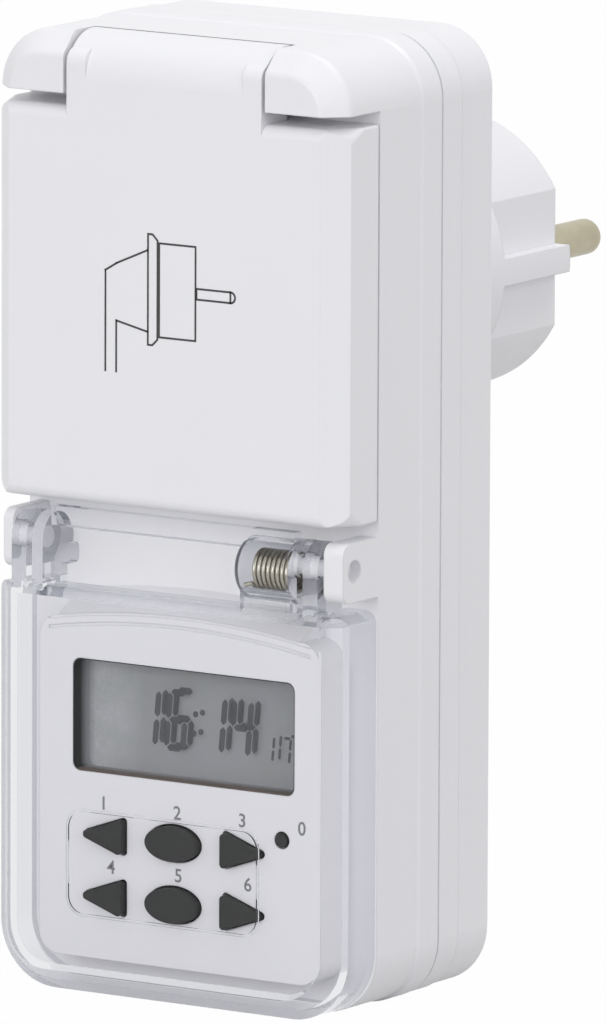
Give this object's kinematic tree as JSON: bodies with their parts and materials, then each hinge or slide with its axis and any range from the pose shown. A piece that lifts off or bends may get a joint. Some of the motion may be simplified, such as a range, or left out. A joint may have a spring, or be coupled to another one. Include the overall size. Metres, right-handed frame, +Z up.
{
  "type": "weekly timer switch",
  "caption": "Outdoor plug-in weekly timer: sprung socket lid above, sprung clear cover over display and keys below, earthed round-pin plug on the back.",
  "frame": {"origin": "midway between the two plug pins, on the plug's flat end face", "axes": "+Z up along the casing, -Y out of the front, +Y the way the plug pins point, +X to the viewer's right"},
  "size_m": [0.0552, 0.0882, 0.1277],
  "materials": {
    "shell_white": "fine satin moulded",
    "lid_white": "fine satin moulded",
    "clear_plastic": "polished clear moulded",
    "seal_rubber": "soft matte",
    "key_rubber": "smooth matte",
    "mat_rubber": "smooth matte",
    "spring_steel": "drawn wire",
    "axle_steel": "turned",
    "pin_nickel": "nickel plated",
    "contact_brass": "stamped strip",
    "insert_plastic": "fine satin moulded",
    "carrier_plastic": "glass filled",
    "shutter_plastic": "moulded",
    "lcd_glass": "polished",
    "lcd_reflector": "satin film",
    "frame_plastic": "moulded",
    "board_green": "solder mask",
    "component_black": "moulded",
    "component_blue": "dipped",
    "capacitor_yellow": "moulded box",
    "cell_steel": "drawn can",
    "screw_steel": "zinc plated"
  },
  "bodies": {
    "casing": {"front_shell": "shell_white", "rear_shell": "shell_white", "plug_body": "shell_white", "housing_seal": "seal_rubber", "lid_hinge_pin": "axle_steel", "cover_pin_right": "shell_white", "cover_pin_left": "shell_white", "plug_pin_live": "pin_nickel", "plug_pin_neutral": "pin_nickel", "pin_carrier": "carrier_plastic", "plug_earth_contacts": "contact_brass", "earth_link": "contact_brass", "socket_insert": "insert_plastic", "socket_contact_live": "contact_brass", "socket_contact_neutral": "contact_brass", "socket_earth_clips": "contact_brass", "shutter_spring": "spring_steel", "shutter_cover": "shutter_plastic", "neutral_busbar": "contact_brass", "live_input_busbar": "contact_brass", "live_output_busbar": "contact_brass", "power_board": "board_green", "relay": "component_black", "dropper_capacitor": "capacitor_yellow", "smoothing_capacitor": "component_black", "varistor": "component_blue", "fuse_resistor": "frame_plastic", "rectifier_diodes": "component_black", "board_link": "component_black", "lcd_glass": "lcd_glass", "lcd_reflector": "lcd_reflector", "lcd_frame": "frame_plastic", "zebra_strips": "mat_rubber", "display_board": "board_green", "microcontroller": "component_black", "clock_crystal": "cell_steel", "backup_battery": "cell_steel", "keypad_mat": "mat_rubber", "housing_screws": "screw_steel", "board_screws": "screw_steel", "display_screws": "screw_steel"},
    "lid": {"socket_lid": "lid_white", "lid_gasket": "seal_rubber", "lid_spring": "spring_steel"},
    "cover": {"clear_cover": "clear_plastic", "cover_spring": "spring_steel"},
    "shutter": {"shutter": "shutter_plastic"},
    "key_1_body": {"key_1": "key_rubber"},
    "key_2_body": {"key_2": "key_rubber"},
    "key_3_body": {"key_3": "key_rubber"},
    "key_4_body": {"key_4": "key_rubber"},
    "key_5_body": {"key_5": "key_rubber"},
    "key_6_body": {"key_6": "key_rubber"},
    "reset_key_body": {"reset_key": "key_rubber"}
  },
  "joints": [
    {"name": "lid_hinge", "type": "hinge", "parent": "casing", "child": "lid", "pos_m": [0, -0.0662, 0.0293], "axis": [-1, 0, 0], "range_deg": [0, 95], "stiffness_Nm_per_rad": 0.01, "springref_deg": -34.38, "deforming": ["lid_spring"]},
    {"name": "cover_hinge", "type": "hinge", "parent": "casing", "child": "cover", "pos_m": [0, -0.0653, -0.0321], "axis": [-1, 0, 0], "range_deg": [0, 100], "stiffness_Nm_per_rad": 0.01, "springref_deg": -34.38, "deforming": ["cover_spring"]},
    {"name": "shutter_turn", "type": "hinge", "parent": "casing", "child": "shutter", "pos_m": [0, -0.0448, 0], "axis": [0, 1, 0], "range_deg": [0, 36], "stiffness_Nm_per_rad": 0.002, "springref_deg": -11.46, "deforming": ["shutter_spring"]},
    {"name": "key_1_press", "type": "slide", "parent": "casing", "child": "key_1_body", "axis": [0, 1, 0], "range_m": [0, 0.0007], "stiffness_N_per_m": 800, "springref_m": -0.0002},
    {"name": "key_2_press", "type": "slide", "parent": "casing", "child": "key_2_body", "axis": [0, 1, 0], "range_m": [0, 0.0007], "stiffness_N_per_m": 800, "springref_m": -0.0002},
    {"name": "key_3_press", "type": "slide", "parent": "casing", "child": "key_3_body", "axis": [0, 1, 0], "range_m": [0, 0.0007], "stiffness_N_per_m": 800, "springref_m": -0.0002},
    {"name": "key_4_press", "type": "slide", "parent": "casing", "child": "key_4_body", "axis": [0, 1, 0], "range_m": [0, 0.0007], "stiffness_N_per_m": 800, "springref_m": -0.0002},
    {"name": "key_5_press", "type": "slide", "parent": "casing", "child": "key_5_body", "axis": [0, 1, 0], "range_m": [0, 0.0007], "stiffness_N_per_m": 800, "springref_m": -0.0002},
    {"name": "key_6_press", "type": "slide", "parent": "casing", "child": "key_6_body", "axis": [0, 1, 0], "range_m": [0, 0.0007], "stiffness_N_per_m": 800, "springref_m": -0.0002},
    {"name": "reset_key_press", "type": "slide", "parent": "casing", "child": "reset_key_body", "axis": [0, 1, 0], "range_m": [0, 0.0007], "stiffness_N_per_m": 800, "springref_m": -0.0002}
  ]
}
